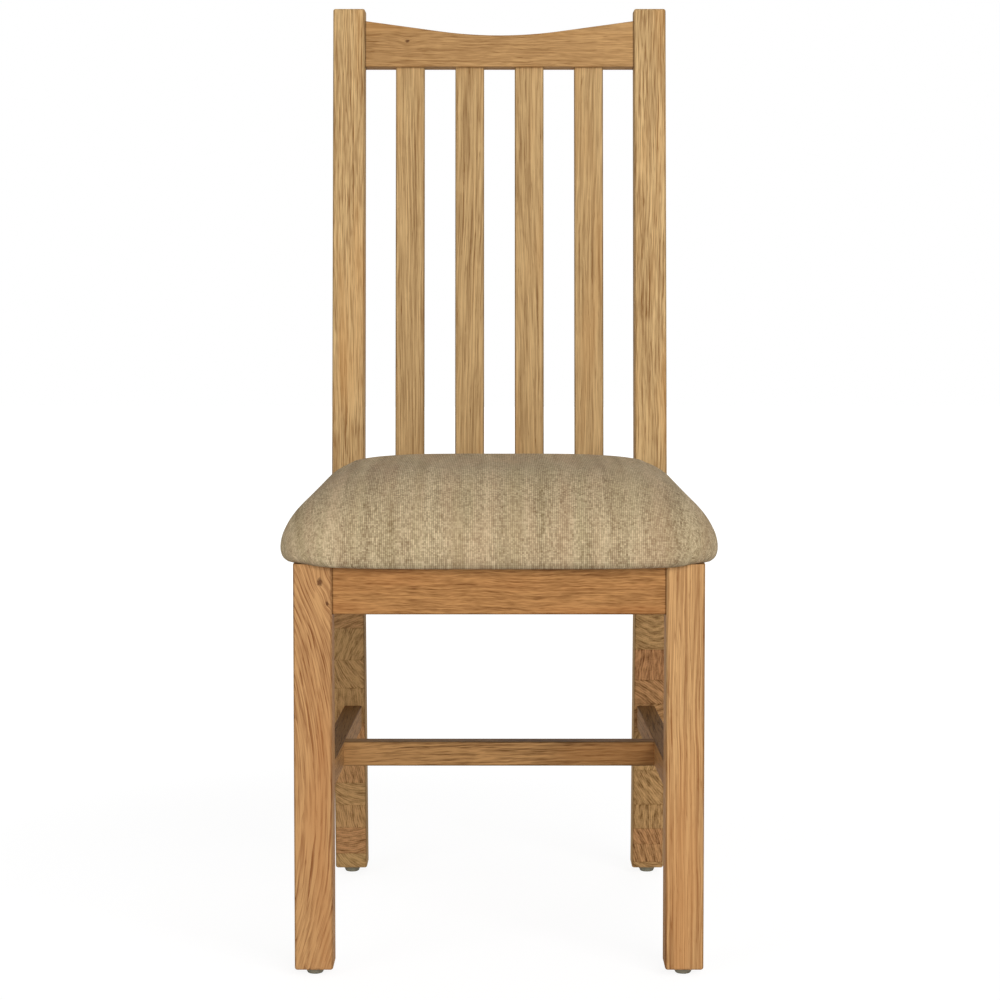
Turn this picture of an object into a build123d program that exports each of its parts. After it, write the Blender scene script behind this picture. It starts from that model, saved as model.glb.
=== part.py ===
from build123d import *
from math import cos, radians, sin, tan
import os

# Oak dining chair with a slatted back and a padded seat, in millimetres, +Z up, facing -Y.
# It is built with Y running back from the front faces of the front legs and Z up from the floor,
# and moved at the end so that the origin is under the middle of its overall box.

# Overall
total_height = 1013.0
front_width = 409.0  # over the front legs
rear_width = 386.0  # over the rear legs
frame_depth = 390.0  # front face of the front legs to front face of the rear legs, at the seat
frame_top = 415.0  # top of the seat rails and of the front legs

# Legs
front_leg_size = 38.5
rear_leg_width = 37.0
rear_leg_depth = 38.0
rear_foot_depth = 35.0
post_top_depth = 29.0
foot_splay = 42.0  # how far the rear feet stand behind the seat part of the leg
back_lean = 5.4  # degrees
bend_low = 330.0  # height where the splay starts
bend_high = 440.0  # height where the lean starts
bend_radius = 400.0
edge_radius = 2.8

# Seat rails and stretchers
rail_height = 50.5
rail_thickness = 22.0
rail_setback = 3.0  # behind the outer faces of the legs
rear_rail_thickness = 25.0
rear_rail_setback = 1.0
stretcher_height = 26.0
stretcher_thickness = 20.5
stretcher_top = 204.0
stretcher_inset = 4.6  # from the inner faces of the legs
cross_thickness = 20.0
cross_front = 180.0  # front face of the cross stretcher
rail_edge_radius = 1.4

# Joints
tenon_length = 15.0
tenon_thickness = 10.0
tenon_shoulder = 6.0  # above and below a tenon
cross_tenon_length = 9.0
joint_gap = 0.1  # round a tenon or slat in its mortise
joint_end_gap = 1.0  # past the end of a tenon

# Back
crest_bottom = 946.3
crest_end_height = 999.5
crest_vertex_height = 978.0  # where the two slopes of the top edge would meet
crest_dip_radius = 510.0
crest_thickness = 22.0
crest_setback = 3.0
slat_count = 4
slat_width = 33.5
slat_thickness = 11.0
slat_setback = 9.0  # behind the front faces of the posts
slat_housing = 12.0  # depth of the slat housings
slat_edge_radius = 1.6

# Corner blocks and their screws
block_leg = 42.0
block_height = 30.0
batten_thickness = 26.0  # of the batten between the rear corner blocks
batten_height = 20.0
batten_end_gap = 2.0
screw_shank = 4.0
screw_head = 8.0
screw_head_height = 3.0
screw_gap = 0.1
screw_bite = 13.0  # how far a screw goes into the rail
screw_grip = 12.0  # block wood under a screw head
screw_offset = 23.0  # from the leg along the rail
screw_stagger = 5.0  # one screw above and one below the middle of the block
head_clearance = 0.5
seat_screw_bite = 8.0
seat_screw_inset = 7.0  # from the leg's inner face
seat_screw_back = 24.0  # from the front or rear rail

# Seat pad
pad_overhang_side = 16.0
pad_overhang_front = 14.0
pad_rear_gap = 3.0  # to the front faces of the rear legs
pad_front_radius = 42.0
pad_rear_radius = 30.0
pad_front_round = 0.35  # how the corners open as the pad rises
pad_rear_round = 0.5
pad_radius_limit = 0.45  # share of the pad's smaller side that one corner may take
pad_shoulder = 12.0  # height of the widest line above the frame
pad_turn_under = 11.0
pad_crown = 76.5  # from the widest line to the top
pad_crown_run = 110.0  # from the widest line in to the flat of the crown
pad_rear_share = 0.64  # the same run at the back edge, as a share of it
pad_power = 1.8
pad_steps = 9
under_steps = 3
cover_thickness = 1.5
wadding_thickness = 4.0
board_thickness = 12.0
board_inset = 6.0  # inside the pad's lowest line
hem_reach = 8.0  # hem that shows inside the rails
rear_hem = 36.0  # width of the hem at the back edge
dust_thickness = 0.8
dust_gap = 0.5
staple_length = 10.0
staple_width = 1.2
staple_height = 0.6
staple_pitch = 32.0
hole_gap = 0.5  # round a screw in cloth

# Feet
glide_top_diameter = 21.5
glide_foot_diameter = 15.0
glide_height = 7.0
glide_round = 1.6
nail_shank = 2.2
nail_head = 5.0
nail_head_height = 1.2
nail_head_recess = 1.4
nail_bite = 12.0

# Worked out
front_half = front_width / 2
rear_half = rear_width / 2
front_inner = front_half - front_leg_size
rear_inner = rear_half - rear_leg_width
rail_bottom = frame_top - rail_height
front_rail_back = rail_setback + rail_thickness
rear_rail_front = frame_depth + rear_rail_setback
stretcher_bottom = stretcher_top - stretcher_height
block_bottom = frame_top - block_height
board_bottom = frame_top + cover_thickness
lean_run = tan(radians(back_lean))
post_top_front = frame_depth + (total_height - bend_high) * lean_run
pad_front = -pad_overhang_front
pad_rear = frame_depth - pad_rear_gap
back_plane = Plane(
    origin=(0, frame_depth, bend_high),
    x_dir=(1, 0, 0),
    z_dir=(0, sin(radians(back_lean)), cos(radians(back_lean))),
)


def up_back(height):
    """Distance along the leaning back, from the bend to a height."""
    return (height - bend_high) / cos(radians(back_lean))


def between(front_value, rear_value, y):
    """A width that tapers in a straight line from the front legs to the rear legs."""
    return front_value + (rear_value - front_value) * y / frame_depth


def side_rail_inner(y):
    return between(front_half, rear_half, y) - rail_setback - rail_thickness


def stretcher_inner(y):
    return between(front_inner, rear_inner, y) + stretcher_inset


def prism(points, low, high):
    """A solid with a plan outline between two heights."""
    face = make_face(Polyline(*points, close=True))
    return Pos(0, 0, low) * extrude(face, amount=high - low, dir=(0, 0, 1))


def plan_bar(inner, thickness, y_start, y_end, low, high):
    """A bar that follows a tapering side of the frame."""
    points = [
        (inner(y_start), y_start),
        (inner(y_start) + thickness, y_start),
        (inner(y_end) + thickness, y_end),
        (inner(y_end), y_end),
    ]
    return prism(points, low, high)


def block(x_range, y_range, z_range):
    """An upright box from its limits."""
    size = [high - low for low, high in (x_range, y_range, z_range)]
    place = Pos(x_range[0], y_range[0], z_range[0])
    return place * Box(*size, align=(Align.MIN, Align.MIN, Align.MIN))


def rod(start, end, diameter):
    """A round rod between two points."""
    way = Vector(*end) - Vector(*start)
    plane = Plane(origin=start, z_dir=way)
    up = (Align.CENTER, Align.CENTER, Align.MIN)
    return plane * Cylinder(diameter / 2, way.length, align=up)


def soften_long(part, length, radius):
    """Rounds the edges that are longer than a length."""
    return fillet(part.edges().filter_by(lambda edge: edge.length > length), radius)


def mirrored(part):
    return mirror(part, about=Plane.YZ)


def group(parts):
    """Separate solids kept together, such as a set of screws."""
    return Compound([solid for part in parts for solid in part.solids()])


def rear_front_line():
    """The front edge of a rear leg, seen from the side."""
    points = [
        (0, frame_depth + foot_splay, glide_height),
        (0, frame_depth, bend_low),
        (0, frame_depth, bend_high),
        (0, post_top_front, total_height),
    ]
    return FilletPolyline(*points, radius=bend_radius)


def rear_back_line():
    """The back edge of a rear leg, seen from the side."""
    points = [
        (0, frame_depth + foot_splay + rear_foot_depth, glide_height),
        (0, frame_depth + rear_leg_depth, bend_low),
        (0, frame_depth + rear_leg_depth, bend_high),
        (0, post_top_front + post_top_depth, total_height),
    ]
    return FilletPolyline(*points, radius=bend_radius)


def behind_rear_legs():
    """All the space behind the front faces of the rear legs, to trim what meets them."""
    front = rear_front_line()
    far = frame_depth + front_width
    outer = Polyline(front @ 1, (0, far, total_height), (0, far, glide_height), front @ 0)
    face = make_face(front.edges() + outer.edges())
    return Pos(-front_width, 0, 0) * extrude(face, amount=2 * front_width, dir=(1, 0, 0))


# Tenons, each also the cutter of its mortise when it is given the gaps

def side_tenon(inner, thickness, low, high, y_end, gap, end_gap):
    """A tenon of a side rail or side stretcher; y_end is the leg face that it enters."""
    step = 1 if y_end > front_leg_size else -1
    cheek = (thickness - tenon_thickness) / 2
    y_far = y_end + step * (tenon_length + end_gap)
    y_start = y_end - step * tenon_shoulder
    return plan_bar(
        lambda y: inner(y) + cheek - gap,
        tenon_thickness + 2 * gap,
        min(y_far, y_start),
        max(y_far, y_start),
        low + tenon_shoulder - gap,
        high - tenon_shoulder + gap,
    )


def side_tenons(gap=0.0, end_gap=0.0):
    """The four right-hand tenons: rail and stretcher, front and rear."""
    rail = (side_rail_inner, rail_thickness, rail_bottom, frame_top)
    stretcher = (stretcher_inner, stretcher_thickness, stretcher_bottom, stretcher_top)
    rear_face = stretcher_rear_face()
    return {
        "rail_front": side_tenon(*rail, front_leg_size, gap, end_gap),
        "rail_rear": side_tenon(*rail, frame_depth, gap, end_gap),
        "stretcher_front": side_tenon(*stretcher, front_leg_size, gap, end_gap),
        "stretcher_rear": side_tenon(*stretcher, rear_face, gap, end_gap),
    }


def stretcher_rear_face():
    """Where the splayed rear leg's front face is, half way up the stretchers."""
    share = (bend_low - stretcher_top + stretcher_height / 2) / (bend_low - glide_height)
    return frame_depth + foot_splay * share


def end_rail_tenon(inner_face, y_front, thickness, gap=0.0, end_gap=0.0):
    """The right-hand tenon of the front or rear seat rail."""
    cheek = (thickness - tenon_thickness) / 2
    return block(
        (inner_face - tenon_shoulder, inner_face + tenon_length + end_gap),
        (y_front + cheek - gap, y_front + cheek + tenon_thickness + gap),
        (rail_bottom + tenon_shoulder - gap, frame_top - tenon_shoulder + gap),
    )


def crest_tenon(gap=0.0, end_gap=0.0):
    """The right-hand tenon of the top rail."""
    cheek = (crest_thickness - tenon_thickness) / 2
    low = up_back(crest_bottom) + tenon_shoulder
    high = up_back(crest_vertex_height) - tenon_shoulder
    return back_plane * block(
        (rear_inner - tenon_shoulder, rear_inner + tenon_length + end_gap),
        (crest_setback + cheek - gap, crest_setback + cheek + tenon_thickness + gap),
        (low - gap, high + gap),
    )


def cross_tenon(gap=0.0, end_gap=0.0):
    """The right-hand tenon of the cross stretcher."""
    cheek = (cross_thickness - tenon_thickness) / 2
    face = stretcher_inner(cross_front + cross_thickness / 2)
    return block(
        (face - tenon_shoulder, face + cross_tenon_length + end_gap),
        (cross_front + cheek - gap, cross_front + cross_thickness - cheek + gap),
        (stretcher_bottom + tenon_shoulder - gap, stretcher_top - tenon_shoulder + gap),
    )


def slat_middles():
    """Slat centres, with equal gaps between slats and posts."""
    clear = (2 * rear_inner - slat_count * slat_width) / (slat_count + 1)
    pitch = slat_width + clear
    return [(i - (slat_count - 1) / 2) * pitch for i in range(slat_count)]


def slat_bar(middle, gap=0.0, end_gap=0.0):
    """A slat with its housed ends; it stands on the bottom of its housing in the rear rail."""
    return back_plane * block(
        (middle - slat_width / 2 - gap, middle + slat_width / 2 + gap),
        (slat_setback - gap, slat_setback + slat_thickness + gap),
        (
            up_back(frame_top) - slat_housing,
            up_back(crest_bottom) + slat_housing - joint_end_gap + end_gap,
        ),
    )


def slat_housings():
    """The cutters of the slats' housings."""
    return [slat_bar(middle, joint_gap, joint_end_gap) for middle in slat_middles()]


# Fasteners


def nail_places():
    """The middle of each foot."""
    front_middle = front_half - front_leg_size / 2
    rear_middle = rear_half - rear_leg_width / 2
    rear_y = frame_depth + foot_splay + rear_foot_depth / 2
    return {
        "front_right": (front_middle, front_leg_size / 2),
        "front_left": (-front_middle, front_leg_size / 2),
        "rear_right": (rear_middle, rear_y),
        "rear_left": (-rear_middle, rear_y),
    }


def nail(place, gap=0.0, end_gap=0.0):
    x, y = place
    head_low = nail_head_recess
    head_high = head_low + nail_head_height
    head = rod((x, y, head_low), (x, y, head_high + gap), nail_head + 2 * gap)
    top = glide_height + nail_bite + end_gap
    shank = rod((x, y, head_low), (x, y, top), nail_shank + 2 * gap)
    return head + shank


def screw(start, way, grip_to_tip, gap=0.0, pocket=0.0):
    """A screw whose head sits on start; pocket also clears the way to the head."""
    way = Vector(*way)
    start = Vector(*start)
    tip = start + way * (grip_to_tip + gap)
    shank = rod(tuple(start), tuple(tip), screw_shank + 2 * gap)
    head_end = start - way * (screw_head_height + pocket)
    clearance = head_clearance if pocket else 0.0
    head = rod(tuple(start), tuple(head_end), screw_head + 2 * clearance)
    return shank + head


def block_screws(gap=0.0, pocket=0.0):
    """The right-hand block screws: each is (start, way) for its head, front block then rear."""
    middle = frame_top - block_height / 2
    length = screw_grip + screw_bite
    front_side_y = front_leg_size + screw_offset
    rear_side_y = frame_depth - screw_offset
    places = {
        "front_rail": (
            (front_inner - screw_offset, front_rail_back + screw_grip, middle + screw_stagger),
            (0, -1, 0),
        ),
        "front_side": (
            (side_rail_inner(front_side_y) - screw_grip, front_side_y, middle - screw_stagger),
            (1, 0, 0),
        ),
        "rear_rail": (
            (rear_inner - screw_offset, rear_rail_front - screw_grip, middle + screw_stagger),
            (0, 1, 0),
        ),
        "rear_side": (
            (side_rail_inner(rear_side_y) - screw_grip, rear_side_y, middle - screw_stagger),
            (1, 0, 0),
        ),
    }
    return {
        name: screw(start, way, length, gap, pocket) for name, (start, way) in places.items()
    }


def seat_screw_places():
    return {
        "front": (front_inner - seat_screw_inset, front_rail_back + seat_screw_back),
        "rear": (rear_inner - seat_screw_inset, rear_rail_front - seat_screw_back),
    }


def seat_screw(place, gap=0.0, pocket=0.0):
    """A right-hand screw that goes up through a block into the seat board."""
    x, y = place
    start = (x, y, block_bottom + screw_head_height + head_clearance)
    length = board_bottom + seat_screw_bite - start[2]
    return screw(start, (0, 0, 1), length, gap, pocket)


# Wooden pieces


def make_front_leg():
    """The right front leg."""
    leg = block(
        (front_inner, front_half), (0, front_leg_size), (glide_height, frame_top)
    )
    foot = leg.faces().sort_by(Axis.Z)[0]
    leg = fillet(leg.edges().filter_by(Axis.Z) + foot.edges(), edge_radius)
    tenons = side_tenons(joint_gap, joint_end_gap)
    leg -= tenons["rail_front"] + tenons["stretcher_front"]
    leg -= end_rail_tenon(
        front_inner, rail_setback, rail_thickness, joint_gap, joint_end_gap
    )
    leg -= nail(nail_places()["front_right"], joint_gap, joint_end_gap)
    return leg


def make_rear_leg():
    """The right rear leg, with its post."""
    front = rear_front_line()
    back = rear_back_line()
    ends = Line(front @ 0, back @ 0).edges() + Line(front @ 1, back @ 1).edges()
    face = make_face(front.edges() + back.edges() + ends)
    leg = Pos(rear_inner, 0, 0) * extrude(face, amount=rear_leg_width, dir=(1, 0, 0))
    sides = leg.faces().sort_by(Axis.X)
    levels = leg.faces().sort_by(Axis.Z)
    rims = sides[0].edges() + sides[-1].edges()
    rims += levels[0].edges().filter_by(Axis.X) + levels[-1].edges().filter_by(Axis.X)
    leg = fillet(rims, edge_radius)
    tenons = side_tenons(joint_gap, joint_end_gap)
    leg -= tenons["rail_rear"] + tenons["stretcher_rear"]
    leg -= end_rail_tenon(
        rear_inner, rear_rail_front, rear_rail_thickness, joint_gap, joint_end_gap
    )
    leg -= crest_tenon(joint_gap, joint_end_gap)
    leg -= nail(nail_places()["rear_right"], joint_gap, joint_end_gap)
    return leg


def make_front_rail():
    rail = block(
        (-front_inner, front_inner), (rail_setback, front_rail_back), (rail_bottom, frame_top)
    )
    rail = soften_long(rail, front_inner, rail_edge_radius)
    tenon = end_rail_tenon(front_inner, rail_setback, rail_thickness)
    rail += [tenon, mirrored(tenon)]
    hole = block_screws(screw_gap)["front_rail"]
    return rail - [hole, mirrored(hole)]


def make_rear_rail():
    rail = block(
        (-rear_inner, rear_inner),
        (rear_rail_front, rear_rail_front + rear_rail_thickness),
        (rail_bottom, frame_top),
    )
    rail = soften_long(rail, rear_inner, rail_edge_radius)
    tenon = end_rail_tenon(rear_inner, rear_rail_front, rear_rail_thickness)
    rail += [tenon, mirrored(tenon)]
    hole = block_screws(screw_gap)["rear_rail"]
    return rail - [hole, mirrored(hole), *slat_housings()]


def make_side_rail():
    """The right side rail."""
    rail = plan_bar(
        side_rail_inner, rail_thickness, front_leg_size, frame_depth, rail_bottom, frame_top
    )
    rail = soften_long(rail, frame_depth / 2, rail_edge_radius)
    tenons = side_tenons()
    rail += [tenons["rail_front"], tenons["rail_rear"]]
    holes = block_screws(screw_gap)
    return rail - [holes["front_side"], holes["rear_side"]]


def make_side_stretcher():
    """The right side stretcher; its rear end follows the splayed leg."""
    reach = frame_depth + foot_splay
    bar = plan_bar(
        stretcher_inner,
        stretcher_thickness,
        front_leg_size,
        reach,
        stretcher_bottom,
        stretcher_top,
    )
    bar = soften_long(bar, frame_depth / 2, rail_edge_radius) - behind_rear_legs()
    tenons = side_tenons()
    bar += [tenons["stretcher_front"], tenons["stretcher_rear"]]
    return bar - cross_tenon(joint_gap, joint_end_gap)


def make_cross_stretcher():
    y_back = cross_front + cross_thickness
    front_x = stretcher_inner(cross_front)
    back_x = stretcher_inner(y_back)
    points = [(-front_x, cross_front), (front_x, cross_front), (back_x, y_back), (-back_x, y_back)]
    bar = prism(points, stretcher_bottom, stretcher_top)
    bar = soften_long(bar, front_inner, rail_edge_radius)
    tenon = cross_tenon()
    return bar + [tenon, mirrored(tenon)]


def make_top_rail():
    low = up_back(crest_bottom)
    end = up_back(crest_end_height)
    vertex = up_back(crest_vertex_height)
    points = [(-rear_inner, 0, end), (0, 0, vertex), (rear_inner, 0, end)]
    top = FilletPolyline(*points, radius=crest_dip_radius)
    rest = Polyline(top @ 1, (rear_inner, 0, low), (-rear_inner, 0, low), top @ 0)
    face = make_face(top.edges() + rest.edges())
    rail = Pos(0, crest_setback, 0) * extrude(face, amount=crest_thickness, dir=(0, 1, 0))
    faces = rail.faces().sort_by(Axis.Y)
    rims = faces[0].edges() + faces[-1].edges()
    rail = fillet(rims.filter_by(Axis.Z, reverse=True), rail_edge_radius)
    tenon = crest_tenon()
    rail = back_plane * rail + [tenon, mirrored(tenon)]
    return rail - slat_housings()


def make_slat(middle):
    """One back slat, with its rounded long edges."""
    return soften_long(slat_bar(middle), frame_depth, slat_edge_radius)


def make_front_block():
    """The right front corner block, fitted round the leg."""
    y_side = front_leg_size + block_leg
    points = [
        (front_inner, front_rail_back),
        (front_inner, front_leg_size),
        (side_rail_inner(front_leg_size), front_leg_size),
        (side_rail_inner(y_side), y_side),
        (front_inner - block_leg, front_rail_back),
    ]
    piece = prism(points, block_bottom, frame_top)
    holes = block_screws(screw_gap, block_leg)
    piece -= [holes["front_rail"], holes["front_side"]]
    return piece - seat_screw(seat_screw_places()["front"], screw_gap, block_height)


def make_rear_block():
    """The right rear corner block, fitted round the leg."""
    y_side = frame_depth - block_leg
    points = [
        (rear_inner, rear_rail_front),
        (rear_inner, frame_depth),
        (side_rail_inner(frame_depth), frame_depth),
        (side_rail_inner(y_side), y_side),
        (rear_inner - block_leg, rear_rail_front),
    ]
    piece = prism(points, block_bottom, frame_top)
    holes = block_screws(screw_gap, block_leg)
    piece -= [holes["rear_rail"], holes["rear_side"]]
    return piece - seat_screw(seat_screw_places()["rear"], screw_gap, block_height)


def make_seat_batten():
    """The batten glued to the rear rail, which carries the back edge of the seat."""
    half = rear_inner - block_leg - batten_end_gap
    return block(
        (-half, half),
        (rear_rail_front - batten_thickness, rear_rail_front),
        (frame_top - batten_height, frame_top),
    )


# Seat pad


def pad_outline(inset, height, shrink=0.0):
    """The pad's plan at one height, inset from its widest line and shrunk all round."""
    rear_inset = inset * pad_rear_share
    y_front = pad_front + inset + shrink
    y_rear = pad_rear - rear_inset - shrink
    x_front = between(front_half, rear_half, y_front) + pad_overhang_side - inset - shrink
    x_rear = between(front_half, rear_half, y_rear) + pad_overhang_side - rear_inset - shrink
    corners = [(-x_front, y_front), (x_front, y_front), (x_rear, y_rear), (-x_rear, y_rear)]
    face = make_face(Polyline(*corners, close=True))
    most = pad_radius_limit * min(y_rear - y_front, 2 * x_front, 2 * x_rear)
    front_radius = min(pad_front_radius + pad_front_round * inset - shrink, most)
    rear_radius = min(pad_rear_radius + pad_rear_round * inset - shrink, most)
    face = fillet(face.vertices().group_by(Axis.Y)[0], front_radius)
    face = fillet(face.vertices().group_by(Axis.Y)[-1], rear_radius)
    return Pos(0, 0, height) * face


def pad_form(shrink, bottom):
    """The crowned form of the pad, shrunk all round, from a height up."""
    widest = frame_top + pad_shoulder
    sections = []
    for step in range(under_steps, 0, -1):
        turn = radians(90 * step / under_steps)
        height = widest - (widest - bottom) * sin(turn)
        sections.append(pad_outline(pad_turn_under * (1 - cos(turn)), height, shrink))
    for step in range(pad_steps + 1):
        turn = radians(90 * step / pad_steps)
        inset = pad_crown_run * (1 - max(cos(turn), 0) ** (2 / pad_power))
        height = widest + (pad_crown - shrink) * sin(turn) ** (2 / pad_power)
        sections.append(pad_outline(inset, height, shrink))
    return loft(sections, ruled=True)


def hem_opening(shrink, low, high):
    """The middle of the underside, inside the cover's hem."""
    y_front = front_rail_back + hem_reach + shrink
    y_rear = pad_rear - rear_hem - shrink
    points = [
        (side_rail_inner(y_front) - hem_reach - shrink, y_front),
        (side_rail_inner(y_rear) - hem_reach - shrink, y_rear),
        (-side_rail_inner(y_rear) + hem_reach + shrink, y_rear),
        (-side_rail_inner(y_front) + hem_reach + shrink, y_front),
    ]
    return prism(points, low, high)


def seat_screw_holes(gap):
    """The four holes for the seat screws, to cut from what they pass through."""
    holes = [seat_screw(place, gap) for place in seat_screw_places().values()]
    return holes + [mirrored(hole) for hole in holes]


def board_blank():
    outline = pad_outline(pad_turn_under, board_bottom, board_inset)
    return extrude(outline, amount=board_thickness, dir=(0, 0, 1))


def make_board():
    return board_blank() - seat_screw_holes(screw_gap)


def make_foam():
    """Foam on top of the board, inside the wadding."""
    foam = pad_form(cover_thickness + wadding_thickness, board_bottom)
    reach = (-front_width, frame_depth + front_width)
    below = block(reach, reach, (0, board_bottom + board_thickness))
    return foam - below


def make_wadding():
    return pad_form(cover_thickness, board_bottom) - board_blank() - make_foam()


def make_cover():
    cover = pad_form(0, frame_top) - pad_form(cover_thickness, board_bottom)
    opening = hem_opening(0, frame_top - cover_thickness, board_bottom + cover_thickness)
    return cover - opening - seat_screw_holes(hole_gap)


def make_dust_cover():
    cloth = hem_opening(dust_gap, board_bottom - dust_thickness, board_bottom)
    return cloth - seat_screw_holes(hole_gap)


def make_staples():
    """Staples through the hem, between the corner blocks."""
    low = frame_top - staple_height
    y_first = front_leg_size + block_leg + staple_length
    y_last = frame_depth - block_leg - staple_length
    rows = int((y_last - y_first) / staple_pitch)
    staples = []
    for row in range(rows + 1):
        y = y_first + (y_last - y_first) * row / rows
        x = side_rail_inner(y) - hem_reach / 2
        for side in (-1, 1):
            place = Pos(side * x, y, low + staple_height / 2)
            staples.append(place * Box(staple_width, staple_length, staple_height))
    half_row = front_inner - block_leg - staple_length
    columns = int(2 * half_row / staple_pitch)
    for column in range(columns + 1):
        x = -half_row + 2 * half_row * column / columns
        for y in (front_rail_back + hem_reach / 2, pad_rear - rear_hem + hem_reach / 2):
            place = Pos(x, y, low + staple_height / 2)
            staples.append(place * Box(staple_length, staple_width, staple_height))
    return group(staples)


# Feet


def make_glide(name):
    x, y = nail_places()[name]
    upright = (Align.CENTER, Align.CENTER, Align.MIN)
    glide = Cone(glide_foot_diameter / 2, glide_top_diameter / 2, glide_height, align=upright)
    glide = Pos(x, y, 0) * fillet(glide.edges().group_by(Axis.Z)[0], glide_round)
    opening = rod((x, y, 0), (x, y, nail_head_recess), nail_head + 2 * joint_gap)
    return glide - opening - nail((x, y), joint_gap)


def make_pieces():
    """Every node by its name."""
    pieces = {
        "front_rail": make_front_rail(),
        "rear_rail": make_rear_rail(),
        "seat_batten": make_seat_batten(),
        "cross_stretcher": make_cross_stretcher(),
        "top_rail": make_top_rail(),
        "seat_board": make_board(),
        "seat_foam": make_foam(),
        "seat_wadding": make_wadding(),
        "seat_cover": make_cover(),
        "dust_cover": make_dust_cover(),
        "cover_staples": make_staples(),
    }
    right_hand = {
        "front_leg": make_front_leg(),
        "rear_leg": make_rear_leg(),
        "side_rail": make_side_rail(),
        "side_stretcher": make_side_stretcher(),
        "corner_block_front": make_front_block(),
        "corner_block_rear": make_rear_block(),
    }
    for name, piece in right_hand.items():
        pieces[name + "_right"] = piece
        pieces[name + "_left"] = mirrored(piece)
    for number, middle in enumerate(slat_middles(), start=1):
        pieces[f"back_slat_{number}"] = make_slat(middle)
    screws = list(block_screws().values())
    pieces["corner_block_screws"] = group(screws + [mirrored(s) for s in screws])
    screws = [seat_screw(place) for place in seat_screw_places().values()]
    pieces["seat_screws"] = group(screws + [mirrored(s) for s in screws])
    for name in nail_places():
        pieces["glide_" + name] = make_glide(name)
    nails = [nail(place) for place in nail_places().values()]
    pieces["glide_nails"] = group(nails)
    return pieces


def write_pieces():
    os.makedirs("parts", exist_ok=True)
    pieces = make_pieces()
    boxes = [piece.bounding_box() for piece in pieces.values()]
    y_middle = (min(b.min.Y for b in boxes) + max(b.max.Y for b in boxes)) / 2
    for name, piece in pieces.items():
        export_step(Pos(0, -y_middle, 0) * piece, f"parts/{name}.step")


write_pieces()
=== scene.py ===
import math

import bmesh
import bpy
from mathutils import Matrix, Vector


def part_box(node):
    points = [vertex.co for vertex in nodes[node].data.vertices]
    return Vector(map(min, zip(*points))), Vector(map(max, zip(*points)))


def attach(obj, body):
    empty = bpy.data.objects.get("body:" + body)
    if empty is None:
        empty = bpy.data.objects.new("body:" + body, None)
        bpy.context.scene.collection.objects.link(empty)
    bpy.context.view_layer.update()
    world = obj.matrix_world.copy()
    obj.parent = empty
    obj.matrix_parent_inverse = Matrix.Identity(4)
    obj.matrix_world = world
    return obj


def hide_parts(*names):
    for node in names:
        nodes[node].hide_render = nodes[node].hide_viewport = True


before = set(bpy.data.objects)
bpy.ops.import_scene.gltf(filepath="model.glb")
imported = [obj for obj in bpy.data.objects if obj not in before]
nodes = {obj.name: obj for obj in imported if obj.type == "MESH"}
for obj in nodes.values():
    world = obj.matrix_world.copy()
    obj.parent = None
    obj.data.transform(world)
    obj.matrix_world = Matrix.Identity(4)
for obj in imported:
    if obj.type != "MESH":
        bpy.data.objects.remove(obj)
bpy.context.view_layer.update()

MM = 0.001

# Where things are, from the frame
FRONT_LEG_LOW, FRONT_LEG_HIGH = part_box("front_leg_right")
REAR_LEG_LOW, REAR_LEG_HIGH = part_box("rear_leg_right")
COVER_LOW, COVER_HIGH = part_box("seat_cover")
DUST_LOW, DUST_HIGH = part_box("dust_cover")
FRONT_FACE = FRONT_LEG_LOW.y  # the front faces of the front legs
FRAME_TOP = FRONT_LEG_HIGH.z
SEAT_DEPTH = 390 * MM  # front legs' front faces to the posts' front faces at the seat
POST_FACE = FRONT_FACE + SEAT_DEPTH

# The rear legs: straight between the bends, leaning above them and splayed below
BEND_LOW, BEND_HIGH = 330 * MM, 440 * MM
POST_DEPTH, POST_TOP_DEPTH = 38 * MM, 29 * MM  # front to back, at the bends and at the top
POST_THINNING = 9 * MM  # from the one to the other
FOOT_SPLAY = 42 * MM
FOOT_THINNING = 0.0093  # depth lost for each unit of height below the bends
BACK_LEAN = (REAR_LEG_HIGH.y - POST_TOP_DEPTH - POST_FACE) / (REAR_LEG_HIGH.z - BEND_HIGH)


# Shader maths


class Value:
    """A shader socket that can stand in a Python sum."""

    def __init__(self, finish, socket):
        self.finish = finish
        self.socket = socket

    def __add__(self, other):
        return self.finish.sum("ADD", self, other)

    def __sub__(self, other):
        return self.finish.sum("SUBTRACT", self, other)

    def __rsub__(self, other):
        return self.finish.sum("SUBTRACT", other, self)

    def __mul__(self, other):
        return self.finish.sum("MULTIPLY", self, other)

    def __truediv__(self, other):
        return self.finish.sum("DIVIDE", self, other)

    def __rtruediv__(self, other):
        return self.finish.sum("DIVIDE", other, self)

    def __pow__(self, other):
        return self.finish.sum("POWER", self, other)

    def __neg__(self):
        return self.finish.sum("MULTIPLY", self, -1.0)

    def __abs__(self):
        return self.finish.sum("ABSOLUTE", self)

    __radd__ = __add__
    __rmul__ = __mul__


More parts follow.
